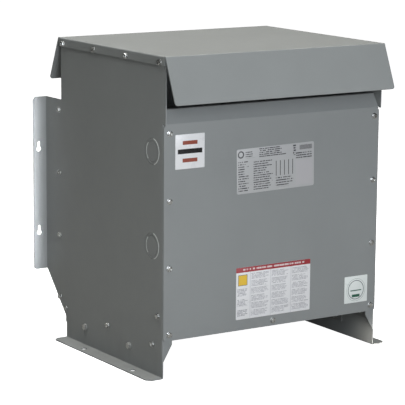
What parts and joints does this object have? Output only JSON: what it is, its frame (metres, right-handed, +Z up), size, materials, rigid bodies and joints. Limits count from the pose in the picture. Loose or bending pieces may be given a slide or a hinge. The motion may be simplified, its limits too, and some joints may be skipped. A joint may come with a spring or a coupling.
{
  "type": "dry-type transformer",
  "caption": "Ventilated dry-type transformer: sheet-steel case with drip hood, feet and wall flanges, pull-off covers, laminated core, coils and terminals inside.",
  "frame": {"origin": "on the floor, midway across the case and midway between the front hood flap's edge and the wall plane", "axes": "+Z up, -Y out of the front cover, +Y towards the wall, X across the case"},
  "size_m": [0.501, 0.448, 0.545],
  "materials": {
    "painted_steel": "light grey baked enamel, satin",
    "painted_pan": "grey baked enamel, satin, floor pan and rails",
    "zinc_screws": "bright zinc plate",
    "bolt_steel": "dull zinc plate",
    "clamp_steel": "black primer",
    "core_steel": "varnished silicon steel laminations",
    "inner_coil": "varnished aramid paper over aluminium",
    "outer_coil": "varnished copper winding with paper layers",
    "insulation": "glass laminate and pressboard",
    "board": "red glass-polyester board",
    "lug_aluminium": "tin-plated aluminium",
    "lead_insulation": "black silicone sleeving",
    "pad_rubber": "neoprene",
    "strap_copper": "tinned copper braid",
    "nameplate_foil": "silver polyester label with dark print",
    "white_label": "white vinyl label"
  },
  "bodies": {
    "frame": {"left_side_panel": "painted_steel", "right_side_panel": "painted_steel", "base_pan": "painted_pan", "front_core_rail": "painted_pan", "rear_core_rail": "painted_pan", "pan_screws": "zinc_screws", "rear_cover_screws": "zinc_screws", "ground_screw": "zinc_screws", "board_screws": "zinc_screws", "rail_bolts": "bolt_steel", "rail_nuts": "bolt_steel", "mounting_bolts": "bolt_steel", "mounting_nuts": "bolt_steel", "clamp_bolts": "bolt_steel", "clamp_nuts": "bolt_steel", "terminal_bolts": "bolt_steel", "terminal_nuts": "bolt_steel", "isolation_pads": "pad_rubber", "lower_front_clamp": "clamp_steel", "lower_rear_clamp": "clamp_steel", "upper_front_clamp": "clamp_steel", "upper_rear_clamp": "clamp_steel", "board_brackets": "clamp_steel", "core_e_stack": "core_steel", "core_top_yoke": "core_steel", "coil_formers": "insulation", "duct_sticks": "insulation", "coil_blocks": "insulation", "left_inner_winding": "inner_coil", "centre_inner_winding": "inner_coil", "right_inner_winding": "inner_coil", "left_outer_winding": "outer_coil", "centre_outer_winding": "outer_coil", "right_outer_winding": "outer_coil", "terminal_board": "board", "primary_lugs": "lug_aluminium", "secondary_lugs": "lug_aluminium", "ground_lug": "lug_aluminium", "primary_leads": "lead_insulation", "secondary_leads": "lead_insulation", "ground_strap": "strap_copper"},
    "front_cover": {"front_cover": "painted_steel", "front_cover_screws": "zinc_screws", "nameplate": "nameplate_foil", "hazard_label": "white_label", "maker_label": "white_label", "efficiency_label": "white_label"},
    "rear_cover": {"rear_cover": "painted_steel"},
    "roof": {"roof": "painted_steel", "roof_screws": "zinc_screws", "rear_baffle": "painted_steel"}
  },
  "joints": [
    {"name": "front_cover_pull", "type": "slide", "parent": "frame", "child": "front_cover", "axis": [0, -1, 0], "range_m": [0, 0.16]},
    {"name": "rear_cover_pull", "type": "slide", "parent": "frame", "child": "rear_cover", "axis": [0, 1, 0], "range_m": [0, 0.12]},
    {"name": "roof_lift", "type": "slide", "parent": "frame", "child": "roof", "axis": [0, 0, 1], "range_m": [0, 0.12]}
  ]
}
